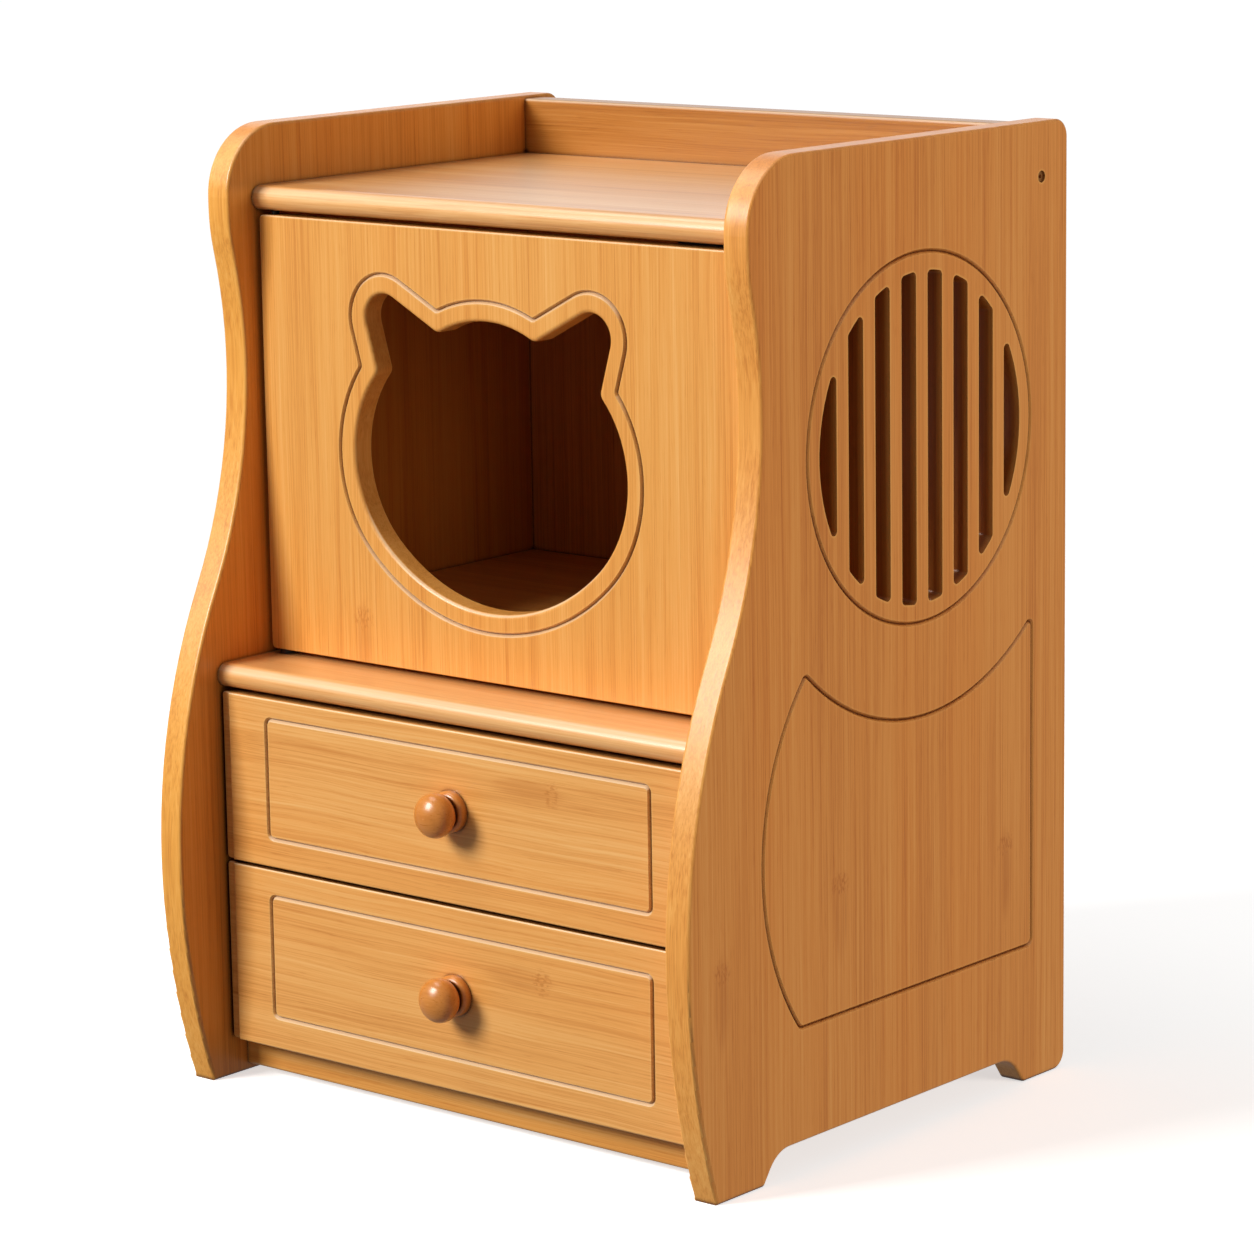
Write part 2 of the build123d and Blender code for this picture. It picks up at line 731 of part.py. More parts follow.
with BuildPart() as top_bush:
    rod((pivot_x, pivot_y, top_bush_low), (pivot_x, pivot_y, top_bush_low + bush_length), bush_radius)
    rod((pivot_x, pivot_y, top_bush_low), (pivot_x, pivot_y, top_bush_low + bush_length), bush_bore, Mode.SUBTRACT)
keep(top_bush, "top_bush")

with BuildPart() as bottom_bush:
    rod((pivot_x, pivot_y, bottom_bush_low), (pivot_x, pivot_y, shelf_top), bush_radius)
    rod((pivot_x, pivot_y, bottom_bush_low), (pivot_x, pivot_y, shelf_top), bush_bore, Mode.SUBTRACT)
keep(bottom_bush, "bottom_bush")

with BuildPart() as thrust_washer:
    washer_top = door_bottom - running_gap
    rod((pivot_x, pivot_y, shelf_top), (pivot_x, pivot_y, washer_top), washer_radius)
    rod((pivot_x, pivot_y, shelf_top), (pivot_x, pivot_y, washer_top), bush_bore, Mode.SUBTRACT)
keep(thrust_washer, "thrust_washer")

magnet_x = (catch_x - magnet_width / 2, catch_x + magnet_width / 2)
magnet_y = (y_at(catch_front_depth), y_at(catch_front_depth - magnet_depth))
magnet_z = (catch_bottom + magnet_margin, catch_bottom + magnet_margin + magnet_height)

with BuildPart() as catch_body:
    block(
        (catch_x - catch_width / 2, catch_x + catch_width / 2),
        (y_at(catch_front_depth - catch_depth), y_at(catch_front_depth)),
        (catch_bottom, top_board_bottom),
    )
    fillet(catch_body.edges().filter_by(Axis.Z), catch_corner_radius)
    block(magnet_x, magnet_y, magnet_z, Mode.SUBTRACT)
    fit_catch_screws(Mode.SUBTRACT)
keep(catch_body, "catch_body")

with BuildPart() as catch_magnet:
    block(magnet_x, magnet_y, magnet_z)
keep(catch_magnet, "catch_magnet")

with BuildPart() as catch_screws:
    fit_catch_screws(Mode.ADD)
keep(catch_screws, "catch_screws")


# Door with the cat-head opening, the piece that takes the most skill to cut
def polar(centre, radius, angle):
    """The point on a circle at an angle in degrees."""
    return Vector(centre.X + radius * cos(radians(angle)), centre.Y + radius * sin(radians(angle)))


def angle_of(centre, point):
    """The angle of a point about a centre, in degrees."""
    return degrees(atan2(point.Y - centre.Y, point.X - centre.X))


def line_meets_circle(start, direction, centre, radius):
    """The point where a ray from outside a circle first meets it."""
    to_centre = centre - start
    along = to_centre.dot(direction)
    return start + direction * (along - sqrt(radius**2 - to_centre.dot(to_centre) + along**2))


def head_outline(grow, ear_root, crown_root):
    """The cat's head, grown outwards evenly. In the sketch X is X and Y is the height."""
    crown = Vector(0, head_top - crown_radius)
    ear = Vector(ear_reach, ear_height)
    chin = Vector(0, head_bottom + chin_radius)
    cheek_x = cheek_reach - cheek_radius
    cheek_drop = sqrt((chin_radius - cheek_radius) ** 2 - cheek_x**2)
    cheek = Vector(cheek_x, chin.Y - cheek_drop)
    ear_inner = polar(ear, ear_radius + grow, ear_inner_normal)
    ear_outer = polar(ear, ear_radius + grow, ear_outer_normal)
    down_inner = polar(Vector(0, 0), 1, ear_inner_normal + 90)
    down_outer = polar(Vector(0, 0), 1, ear_outer_normal - 90)
    notch = line_meets_circle(ear_inner, down_inner, crown, crown_radius + grow)
    junction = line_meets_circle(ear_outer, down_outer, cheek, cheek_radius + grow)
    chin_angle = angle_of(chin, cheek)
    chin_end = polar(chin, chin_radius + grow, chin_angle)
    notch_angle = angle_of(crown, notch)
    junction_angle = angle_of(cheek, junction)
    ear_middle = (ear_inner_normal + ear_outer_normal) / 2
    with BuildSketch(Plane.XZ) as head:
        with BuildLine():
            ThreePointArc((0, head_top + grow), polar(crown, crown_radius + grow, (90 + notch_angle) / 2), notch)
            Line(notch, ear_inner)
            ThreePointArc(ear_inner, polar(ear, ear_radius + grow, ear_middle), ear_outer)
            Line(ear_outer, junction)
            cheek_middle = polar(cheek, cheek_radius + grow, (junction_angle + chin_angle) / 2)
            ThreePointArc(junction, cheek_middle, chin_end)
            chin_middle = polar(chin, chin_radius + grow, (chin_angle - 90) / 2)
            ThreePointArc(chin_end, chin_middle, (0, head_bottom - grow))
            mirror(about=Plane.YZ)
        make_face()
        for corner, radius in ((notch, crown_root), (junction, ear_root)):
            at_height = head.vertices().filter_by_position(Axis.Y, corner.Y - 0.1, corner.Y + 0.1)
            off_centre = at_height.filter_by(lambda v: abs(abs(v.X) - corner.X) < 0.1)
            fillet(off_centre, radius)
    return head.sketch


def moved_to(sketch, x, y):
    """A sketch of the XZ plane moved to a place on a face that looks forward."""
    return sketch.moved(Location((x, y, 0)))


def fit_strike_screw(mode):
    """The screw through the strike plate into the door, or its hole."""
    seat = (catch_x, y_at(strike_face_depth), strike_middle)
    screw(seat, (0, -1, 0), strike_head_radius, strike_screw_radius, strike_screw_length, mode)


door_front_y = y_at(door_face_depth)
door_back_y = y_at(door_back_depth)
strike_middle = door_top - strike_from_top - strike_height / 2
top_pin_high = top_bush_low + bush_length - pin_end_gap
bottom_pin_low = bottom_bush_low + pin_end_gap
top_pin_ends = ((pivot_x, pivot_y, door_top - pin_in_door), (pivot_x, pivot_y, top_pin_high))
bottom_pin_ends = ((pivot_x, pivot_y, bottom_pin_low), (pivot_x, pivot_y, door_bottom + pin_in_door))

with BuildPart() as door_panel:
    block((-door_half_width, door_half_width), (door_front_y, door_back_y), (door_bottom, door_top))
    fillet(door_panel.edges().filter_by(Axis.Y), door_corner_radius)
    head_cut = moved_to(head_outline(0, ear_root_radius, crown_root_radius), head_offset, door_back_y)
    extrude(head_cut, amount=door_thickness, dir=(0, -1, 0), mode=Mode.SUBTRACT)
    front_face = door_panel.faces().sort_by(Axis.Y)[0]
    fillet(front_face.inner_wires()[0].edges(), opening_edge_radius)
    front_edges = door_panel.faces().sort_by(Axis.Y)[0].outer_wire().edges()
    fillet(front_edges, door_edge_radius)
    rear_face = door_panel.faces().sort_by(Axis.Y)[-1]
    fillet(rear_face.inner_wires()[0].edges(), door_edge_radius)
    ring = moved_to(head_outline(head_line_gap, head_line_corner, head_line_corner), head_offset, door_front_y)
    cut_line(ring.face().outer_wire(), Plane(origin=(0, door_front_y, 0), z_dir=(0, -1, 0)))
    rod(*top_pin_ends, pin_radius + press_clearance, Mode.SUBTRACT)
    rod(*bottom_pin_ends, pin_radius + press_clearance, Mode.SUBTRACT)
    fit_strike_screw(Mode.SUBTRACT)
keep(door_panel, "door_panel")

with BuildPart() as pivot_pins:
    rod(*top_pin_ends, pin_radius)
    rod(*bottom_pin_ends, pin_radius)
    chamfer(pivot_pins.edges().filter_by(GeomType.CIRCLE), pin_chamfer)
keep(pivot_pins, "pivot_pins")

with BuildPart() as strike_plate:
    block(
        (catch_x - strike_width / 2, catch_x + strike_width / 2),
        (y_at(strike_face_depth), door_back_y),
        (strike_middle - strike_height / 2, strike_middle + strike_height / 2),
    )
    fillet(strike_plate.edges().filter_by(Axis.Y), catch_corner_radius)
    fit_strike_screw(Mode.SUBTRACT)
keep(strike_plate, "strike_plate")

with BuildPart() as strike_screw:
    fit_strike_screw(Mode.ADD)
keep(strike_screw, "strike_screw")


# Drawers
def knob_shape(height):
    """A turned knob standing on a drawer front at a height. Its head is two flat domes joined by a round rim."""
    face_y = y_at(drawer_face_depth)
    head_middle = face_y - knob_projection + knob_head_thickness / 2
    rim = Vector(knob_head_radius - knob_rim_radius, head_middle)
    rim_gap = knob_head_thickness / 2 - knob_rim_radius
    dome_rise = (rim.X**2 - rim_gap**2) / (2 * rim_gap)
    dome_radius = knob_head_thickness / 2 + dome_rise
    dome = Vector(0, head_middle + dome_rise)
    meets = polar(dome, dome_radius, angle_of(dome, rim))
    tip = (0, head_middle - knob_head_thickness / 2)
    heel = (0, head_middle + knob_head_thickness / 2)
    far_meets = Vector(meets.X, 2 * head_middle - meets.Y)
    quarter = polar(dome, dome_radius, (angle_of(dome, rim) - 90) / 2)
    far_quarter = Vector(quarter.X, 2 * head_middle - quarter.Y)
    with BuildPart() as piece:
        with BuildSketch(Plane.XY.offset(height)):
            with Locations((knob_base_radius / 2, face_y - knob_base_thickness / 2)):
                base = Rectangle(knob_base_radius, knob_base_thickness)
            fillet(base.vertices().group_by(Axis.X)[-1].sort_by(Axis.Y)[0], knob_base_thickness / 2)
            with Locations((knob_neck_radius / 2, (face_y + head_middle) / 2)):
                Rectangle(knob_neck_radius, face_y - head_middle)
            with BuildLine():
                ThreePointArc(tip, quarter, meets)
                ThreePointArc(meets, (knob_head_radius, head_middle), far_meets)
                ThreePointArc(far_meets, far_quarter, heel)
                Line(heel, tip)
            make_face()
        revolve(axis=Axis((0, face_y, height), (0, 1, 0)))
        bore_end = (0, face_y - knob_screw_in_knob - press_clearance, height)
        rod((0, face_y, height), bore_end, knob_screw_radius + press_clearance, Mode.SUBTRACT)
    return piece


def drawer(label, front_bottom, front_height, box_bottom, box_top, line_margin, line_height):
    """All the pieces of one drawer, with its sides resting on the runners."""
    face_y = y_at(drawer_face_depth)
    back_of_front = y_at(front_back_depth)
    box_rear = y_at(box_rear_depth)
    front_top = front_bottom + front_height
    line_middle = front_top - line_margin - line_height / 2
    knob_z = line_middle + knob_rise
    lip_half = inner_x - front_side_gap
    plate_half = lip_half - lip_width
    inner_half = box_half_width - box_side_thickness
    bottom_low = box_bottom + drawer_bottom_rise
    groove_z = (bottom_low, bottom_low + drawer_bottom_thickness + groove_clearance)
    bottom_half = inner_half + drawer_groove_depth
    dowel_heights = (bottom_low + box_dowel_rise, box_top - box_dowel_drop)
    dowel_x = inner_half + box_side_thickness / 2
    back_middle = box_rear - box_side_thickness / 2

    def dowels(mode):
        """The dowels from front to sides and from sides to back, or their holes."""
        gap = press_clearance if mode == Mode.SUBTRACT else 0
        for side in (-1, 1):
            for height in dowel_heights:
                front_end = back_of_front - small_dowel_in_front - gap
                side_end = front_end + small_dowel_length + 2 * gap
                x = side * dowel_x
                rod((x, front_end, height), (x, side_end, height), small_dowel_radius + gap, mode)
                outer_end = side * (inner_half + small_dowel_in_side + gap)
                inner_end = outer_end - side * (small_dowel_length + 2 * gap)
                start = (outer_end, back_middle, height)
                rod(start, (inner_end, back_middle, height), small_dowel_radius + gap, mode)

    with BuildPart() as plate:
        block((-plate_half, plate_half), (back_of_front, face_y), (front_bottom, front_top))
        fillet(plate.faces().sort_by(Axis.Y)[0].edges(), front_edge_radius)

    with BuildPart() as front:
        block((-lip_half, lip_half), (back_of_front, face_y + lip_setback), (front_bottom, front_top))
        fillet(front.edges().filter_by(Axis.Y), front_corner_radius)
        fillet(front.faces().sort_by(Axis.Y)[0].edges(), front_edge_radius)
        add(plate.part)
        with BuildSketch(Plane.XZ.offset(-face_y)) as line_sketch:
            with Locations((0, line_middle)):
                RectangleRounded(panel_line_width, line_height, panel_line_corner)
        path = line_sketch.sketch.face().outer_wire()
        cut_line(path, Plane(origin=(0, face_y, 0), z_dir=(0, -1, 0)))
        block((-bottom_half, bottom_half), (back_of_front, back_of_front - drawer_groove_depth), groove_z, Mode.SUBTRACT)
        hole_radius = knob_screw_radius + knob_hole_clearance
        rod((0, back_of_front, knob_z), (0, face_y, knob_z), hole_radius, Mode.SUBTRACT)
        dowels(Mode.SUBTRACT)
    keep(front, f"{label}_front")

    for side, name in ((-1, "left"), (1, "right")):
        with BuildPart() as box_side:
            block((side * inner_half, side * box_half_width), (back_of_front, box_rear), (box_bottom, box_top))
            fillet(box_side.edges().filter_by(Axis.Y).group_by(Axis.Z)[-1], front_edge_radius)
            groove_x = (side * inner_half, side * bottom_half)
            groove_y = (back_of_front, box_rear - box_side_thickness + drawer_groove_depth)
            block(groove_x, groove_y, groove_z, Mode.SUBTRACT)
            dowels(Mode.SUBTRACT)
        keep(box_side, f"{label}_side_{name}")

    with BuildPart() as box_back:
        block((-inner_half, inner_half), (box_rear - box_side_thickness, box_rear), (box_bottom, box_top))
        fillet(box_back.edges().filter_by(Axis.X).group_by(Axis.Z)[-1], front_edge_radius)
        groove_y = (box_rear - box_side_thickness, box_rear - box_side_thickness + drawer_groove_depth)
        block((-inner_half, inner_half), groove_y, groove_z, Mode.SUBTRACT)
        dowels(Mode.SUBTRACT)
    keep(box_back, f"{label}_back")

    with BuildPart() as box_bottom_board:
        half = bottom_half - groove_clearance
        front_end = back_of_front - drawer_groove_depth + groove_clearance
        rear_end = box_rear - box_side_thickness + drawer_groove_depth - groove_clearance
        block((-half, half), (front_end, rear_end), (bottom_low, bottom_low + drawer_bottom_thickness))
    keep(box_bottom_board, f"{label}_bottom")

    keep(knob_shape(knob_z), f"{label}_knob")

    with BuildPart() as knob_screw:
        head_end = (0, back_of_front + knob_screw_head_height, knob_z)
        rod(head_end, (0, back_of_front, knob_z), knob_screw_head_radius)
        rod((0, back_of_front, knob_z), (0, face_y - knob_screw_in_knob, knob_z), knob_screw_radius)
        with BuildSketch(Plane(origin=head_end, z_dir=(0, -1, 0))):
            RegularPolygon(drive_radius, 6)
        extrude(amount=drive_depth, mode=Mode.SUBTRACT)
    keep(knob_screw, f"{label}_knob_screw")

    with BuildPart() as box_dowels:
        dowels(Mode.ADD)
    keep(box_dowels, f"{label}_dowels")


drawer(
    "upper",
    upper_front_bottom,
    upper_front_height,
    upper_box_bottom,
    upper_box_top,
    upper_line_top_margin,
    upper_line_height,
)
drawer(
    "lower",
    lower_front_bottom,
    lower_front_height,
    lower_box_bottom,
    lower_box_top,
    lower_line_top_margin,
    lower_line_height,
)
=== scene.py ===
import math

import bmesh
import bpy
from mathutils import Matrix, Vector

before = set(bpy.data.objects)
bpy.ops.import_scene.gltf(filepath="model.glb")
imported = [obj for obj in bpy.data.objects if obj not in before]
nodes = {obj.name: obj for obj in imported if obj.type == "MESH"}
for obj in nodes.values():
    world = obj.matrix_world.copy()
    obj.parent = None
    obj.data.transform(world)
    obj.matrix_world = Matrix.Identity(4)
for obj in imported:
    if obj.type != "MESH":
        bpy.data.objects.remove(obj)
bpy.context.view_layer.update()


# Node helpers
class Tree:
    """Short calls for building a material's node tree."""

    def __init__(self, tree):
        self.tree = tree

    def node(self, kind, inputs=None, **settings):
        made = self.tree.nodes.new(kind)
        for key, value in settings.items():
            setattr(made, key, value)
        for key, value in (inputs or {}).items():
            if isinstance(value, bpy.types.NodeSocket):
                self.tree.links.new(value, made.inputs[key])
            else:
                made.inputs[key].default_value = value
        return made

    def math(self, operation, a, b=0.0, c=0.0):
        return self.node("ShaderNodeMath", {0: a, 1: b, 2: c}, operation=operation).outputs[0]

    def times(self, a, b):
        return self.math("MULTIPLY", a, b)

    def sway(self, value, weight, base):
        """The base, plus the weight times how far the value is from one half."""
        return self.math("MULTIPLY_ADD", self.math("SUBTRACT", value, 0.5), weight, base)

    def ellipse(self, u, v, half_u, half_v):
        """The squared distance from an ellipse's middle, which is one at its edge."""
        return self.math(
            "ADD",
            self.math("POWER", self.times(u, 1 / half_u), 2.0),
            self.math("POWER", self.times(v, 1 / half_v), 2.0),
        )

    def combine(self, x, y, z):
        return self.node("ShaderNodeCombineXYZ", {0: x, 1: y, 2: z}).outputs[0]

    def split(self, vector):
        return self.node("ShaderNodeSeparateXYZ", {0: vector}).outputs

    def place(self):
        """The point on the piece, in metres, in the piece's own frame."""
        return self.node("ShaderNodeTexCoord").outputs["Object"]

    def facing(self):
        """The surface normal's X, Y and Z."""
        return self.split(self.node("ShaderNodeNewGeometry").outputs["Normal"])

    def openness(self, reach, **settings):
        """One in the open, and less where other surfaces are within reach."""
        inputs = {"Distance": reach}
        return self.node("ShaderNodeAmbientOcclusion", inputs, samples=4, **settings).outputs["AO"]

    def noise(self, vector, scale, detail, roughness=0.5):
        inputs = {"Vector": vector, "Scale": scale, "Detail": detail, "Roughness": roughness}
        return self.node("ShaderNodeTexNoise", inputs).outputs[0]

    def smooth(self, value, low, high, to_low=0.0, to_high=1.0):
        inputs = {"Value": value, "From Min": low, "From Max": high, "To Min": to_low, "To Max": to_high}
        return self.node("ShaderNodeMapRange", inputs, interpolation_type="SMOOTHSTEP").outputs[0]

    def ramp(self, factor, stops):
        made = self.node("ShaderNodeValToRGB", {"Fac": factor})
        elements = made.color_ramp.elements
        while len(elements) < len(stops):
            elements.new(0.5)
        for element, (place, colour) in zip(elements, stops):
            element.position = place
            element.color = (*colour, 1.0)
        return made.outputs[0]

    def mix(self, factor, a, b, blend="MIX"):
        made = self.node("ShaderNodeMix", data_type="RGBA", blend_type=blend)
        for key, value in ((0, factor), (6, a), (7, b)):
            if isinstance(value, bpy.types.NodeSocket):
                self.tree.links.new(value, made.inputs[key])
            elif key == 0:
                made.inputs[key].default_value = value
            else:
                made.inputs[key].default_value = (*value, 1.0)
        return made.outputs[2]

    def tint(self, colour, shade):
        """The colour multiplied by a shade."""
        return self.mix(1.0, colour, shade, "MULTIPLY")

    def finish(self, shader, colour, rough, height, strength, depth):
        """Joins the colour, roughness and fine relief to the shader."""
        self.tree.links.new(colour, shader.inputs["Base Color"])
        self.tree.links.new(rough, shader.inputs["Roughness"])
        bump = self.node("ShaderNodeBump", {"Height": height, "Strength": strength, "Distance": depth})
        self.tree.links.new(bump.outputs[0], shader.inputs["Normal"])


def new_material(name):
    """An empty node material with its shader."""
    material = bpy.data.materials.new(name)
    material.use_nodes = True
    tree = Tree(material.node_tree)
    shader = material.node_tree.nodes["Principled BSDF"]
    return material, tree, shader


def srgb(r, g, b):
    """A colour given in 0-255 display values, as linear values."""
    return tuple(((c / 255 + 0.055) / 1.055) ** 2.4 if c > 10 else c / 255 / 12.92 for c in (r, g, b))


# Sizes in the bamboo, in metres
strip_width = 0.0068
knuckle_half = 0.009
speck_length, speck_width = 1 / 300, 1 / 900
tail_drop, tail_half_length, tail_half_width = 0.018, 0.034, 0.0085
# Reach of the painted highlight on eased edges
edge_highlight_reach = 0.0016
# Reach of the painted shade in grooves, gaps and joints
crevice_shade_reach = 0.0035
relief_depth = 0.0004

# Shades in the bamboo, as linear values
ruddy_shade = (1.0, 0.945, 0.86)
knuckle_shade = (0.85, 0.72, 0.5)
# Colour of the painted highlight on faces that look up
highlight_colour = (1.0, 0.84, 0.6)
# Colour that the painted shade in grooves, gaps and joints multiplies by
crevice_shade_colour = (0.14, 0.07, 0.035)


def node_mark(t, u, v, w, middle):
    """How strongly one of the stem's nodes shows, with u and v measured from its middle."""
    ragged = t.times(t.noise(t.combine(u["own"], v["own"], w), 330.0, 2.0), 1.3)
    far = t.math("ADD", t.ellipse(u["from_mark"], v["from_mark"], knuckle_half, knuckle_half), ragged)
    speck_place = t.combine(t.times(u["own"], 1 / speck_length), t.times(v["own"], 1 / speck_width), w)
    speck = t.noise(speck_place, 1.0, 2.0)
    patch = t.times(t.smooth(far, 1.7, 0.7), t.smooth(speck, 0.44, 0.62, 0.14, 0.62))
    below = t.math("ADD", u["from_mark"], tail_drop)
    tail_far = t.ellipse(below, v["from_mark"], tail_half_length, tail_half_width)
    tail = t.times(t.smooth(tail_far, 1.0, 0.0), t.smooth(middle, 0.35, 0.65, 0.05, 0.45))
    return t.math("MAXIMUM", patch, tail)


def bamboo(name, grain, across, tones, wave, contrast, knuckles, seed, gloss, coat, highlight_weight, shades):
    """Laminated bamboo under satin lacquer: straight fibres and glued strips that differ a little.

    The grain runs along one axis and the strips lie side by side on another. Knuckles are the
    (along, across) places of node marks, and shades are (where, colour) pairs to multiply by.
    """
    light, mid, dark = tones
    material, t, shader = new_material(name)
    axis = dict(zip("XYZ", t.split(t.place())))
    thick = ({"X", "Y", "Z"} - {grain, across}).pop()
    u, v, w = axis[grain], axis[across], axis[thick]
    u_shift = t.math("ADD", u, seed * 1.37)
    slow = t.noise(t.combine(t.times(u_shift, 9.0), t.times(v, 45.0), seed), 1.0, 1.0)
    v_wavy = t.math("ADD", t.sway(slow, wave * 4, v), seed * 0.61)

    def fibres(along, over, detail, rough):
        """Noise drawn out along the grain: lengths and widths are one over these, in metres."""
        place = t.combine(t.times(u_shift, along), t.times(v_wavy, over), t.times(w, over))
        return t.noise(place, 1.0, detail, rough)

    broad = fibres(1.6, 48.0, 1.0, 0.5)
    middle = fibres(3.6, 300.0, 2.0, 0.55)
    fine = fibres(8.0, 1050.0, 2.0, 0.6)
    dash = fibres(60.0, 1500.0, 1.0, 0.5)
    strip_index = t.math("FLOOR", t.times(v_wavy, 1 / strip_width))
    strip = t.node("ShaderNodeTexWhiteNoise", {"W": strip_index}, noise_dimensions="1D").outputs[0]

    tone = 0.5
    for layer, weight in ((broad, 0.42), (middle, 0.5), (fine, 0.85), (strip, 0.1)):
        tone = t.sway(layer, weight * contrast, tone)
    tone = t.math("MULTIPLY_ADD", t.smooth(dash, 0.58, 0.74), -0.13 * contrast, tone)
    colour = t.ramp(tone, ((0.12, dark), (0.5, mid), (0.88, light)))
    ruddy = t.smooth(fibres(0.9, 17.0, 2.0, 0.5), 0.4, 0.68)
    colour = t.mix(ruddy, colour, t.tint(colour, ruddy_shade))

    for along, over in knuckles:
        mark = node_mark(
            t,
            {"own": u, "from_mark": t.math("SUBTRACT", u, along)},
            {"own": v, "from_mark": t.math("SUBTRACT", v, over)},
            w,
            middle,
        )
        colour = t.mix(mark, colour, tuple(c * k for c, k in zip(dark, knuckle_shade)))

    for where, shade in shades:
        colour = t.mix(where(t, axis), colour, t.tint(colour, shade))

    # Painted highlight: eased edges are painted paler, found by how closely the solid folds round them
    edge_highlight = t.smooth(t.openness(edge_highlight_reach, inside=True), 0.62, 0.95, 0.55, 0.0)
    colour = t.mix(edge_highlight, colour, tuple(min(1.0, c * 1.25) for c in light))
    # Painted highlight: faces that look up and toward the front are painted paler, most on noses, eased top
    # edges and groove walls
    normal = t.facing()
    upward = t.times(t.smooth(normal[2], 0.3, 0.56, 0.0, highlight_weight), t.smooth(normal[2], 0.97, 0.8))
    painted_highlight = t.times(upward, t.smooth(normal[1], -0.15, -0.45))
    colour = t.mix(painted_highlight, colour, highlight_colour)

    # Painted shade: routed grooves, gaps and tight joints are painted darker where other surfaces are near,
    # but not under the painted highlight
    open_sky = t.openness(crevice_shade_reach)
    deep, faint = t.smooth(open_sky, 0.44, 0.84, 1.0, 0.0), t.smooth(open_sky, 0.7, 0.97, 0.16, 0.0)
    kept_dark = t.math("MULTIPLY_ADD", painted_highlight, -1.4, 1.0)
    crevice_shade = t.times(t.math("MAXIMUM", deep, faint), kept_dark)
    colour = t.mix(crevice_shade, colour, t.tint(colour, crevice_shade_colour))

    height = t.math("MULTIPLY_ADD", fine, 0.6, t.times(middle, 0.4))
    t.finish(shader, colour, t.sway(fine, 0.16, gloss), height, 0.22, relief_depth)
    shader.inputs["Coat Weight"].default_value = coat
    shader.inputs["Coat Roughness"].default_value = 0.24
    shader.inputs["Specular IOR Level"].default_value = 0.45
    return material


def metal(name, colour, rough, scale):
    """Bare metal with fine turning marks and small stains."""
    material, t, shader = new_material(name)
    where = t.place()
    grain = t.noise(where, scale, 3.0, 0.6)
    stain = t.smooth(t.noise(where, scale * 0.12, 2.0), 0.35, 0.75)
    shade = t.mix(stain, colour, tuple(c * 0.72 for c in colour))
    t.finish(shader, shade, t.math("MULTIPLY_ADD", grain, 0.22, rough - 0.11), grain, 0.2, 0.0001)
    shader.inputs["Metallic"].default_value = 1.0
    return material


def moulded(name, colour, rough):
    """Moulded nylon or pressed ferrite with a fine grain."""
    material, t, shader = new_material(name)
    grain = t.noise(t.place(), 2600.0, 2.0)
    shade = t.mix(t.smooth(grain, 0.3, 0.7), colour, tuple(c * 1.35 for c in colour))
    t.finish(shader, shade, t.math("MULTIPLY_ADD", grain, 0.12, rough), grain, 0.25, 0.0001)
    return material


# Light, middle and dark tone of each sort of piece
front_tones = (srgb(247, 187, 108), srgb(235, 164, 78), srgb(205, 125, 46))
panel_tones = (srgb(247, 173, 92), srgb(234, 151, 70), srgb(200, 113, 42))
left_tones = (srgb(245, 172, 88), srgb(234, 152, 62), srgb(200, 114, 38))
drawer_tones = (srgb(251, 196, 122), srgb(240, 172, 93), srgb(210, 134, 58))
board_tones = (srgb(251, 199, 134), srgb(239, 175, 105), srgb(212, 138, 68))
rail_tones = (srgb(194, 135, 64), srgb(178, 115, 44), srgb(149, 87, 26))
# Painted shade: the inner pieces' tones are darker, standing for the dim inside of the cabinet
inner_tones = (srgb(214, 152, 84), srgb(194, 128, 60), srgb(160, 92, 34))
knob_tones = (srgb(229, 156, 78), srgb(216, 137, 57), srgb(190, 110, 40))

# Grain axis, strip axis, tones, waviness in metres, contrast and node marks
right_marks = ((0.164, -0.045), (0.154, 0.12), (0.135, -0.155))
wood_plan = {
    "side_panel_left": ("Z", "Y", left_tones, 0.0006, 1.0, ()),
    "side_panel_right": ("Z", "Y", panel_tones, 0.0004, 1.0, right_marks),
    "door_panel": ("Z", "X", front_tones, 0.0005, 0.9, ((0.294, -0.11),)),
    "upper_front": ("X", "Z", drawer_tones, 0.0012, 0.9, ((0.078, 0.218),)),
    "lower_front": ("X", "Z", drawer_tones, 0.0012, 0.9, ((0.068, 0.104),)),
    "base_rail": ("X", "Z", front_tones, 0.0012, 1.0, ()),
    "top_board": ("X", "Y", board_tones, 0.0012, 1.15, ()),
    "mid_shelf": ("X", "Y", board_tones, 0.0012, 0.9, ()),
    "gallery_rail": ("X", "Z", rail_tones, 0.0010, 1.0, ()),
    "back_panel": ("Z", "X", inner_tones, 0.0006, 1.0, ()),
    "cat_floor": ("X", "Y", inner_tones, 0.0012, 0.9, ()),
    "bottom_board": ("X", "Y", inner_tones, 0.0012, 0.9, ()),
}
plain_look = (inner_tones, 0.0008, 0.8, ())
for side in ("left", "right"):
    for batten in ("cleat", "upper_runner", "lower_runner"):
        wood_plan[f"{batten}_{side}"] = ("Y", "Z", *plain_look)
for drawer in ("upper", "lower"):
    for side in ("left", "right"):
        wood_plan[f"{drawer}_side_{side}"] = ("Y", "Z", *plain_look)
    wood_plan[f"{drawer}_back"] = ("X", "Z", *plain_look)
    wood_plan[f"{drawer}_bottom"] = ("X", "Y", *plain_look)
    wood_plan[f"{drawer}_dowels"] = ("Y", "Z", *plain_look)
    wood_plan[f"{drawer}_knob"] = ("X", "Z", knob_tones, 0.0012, 0.55, ())
for dowels in ("carcase_dowels", "base_dowels"):
    wood_plan[dowels] = ("X", "Z", *plain_look)

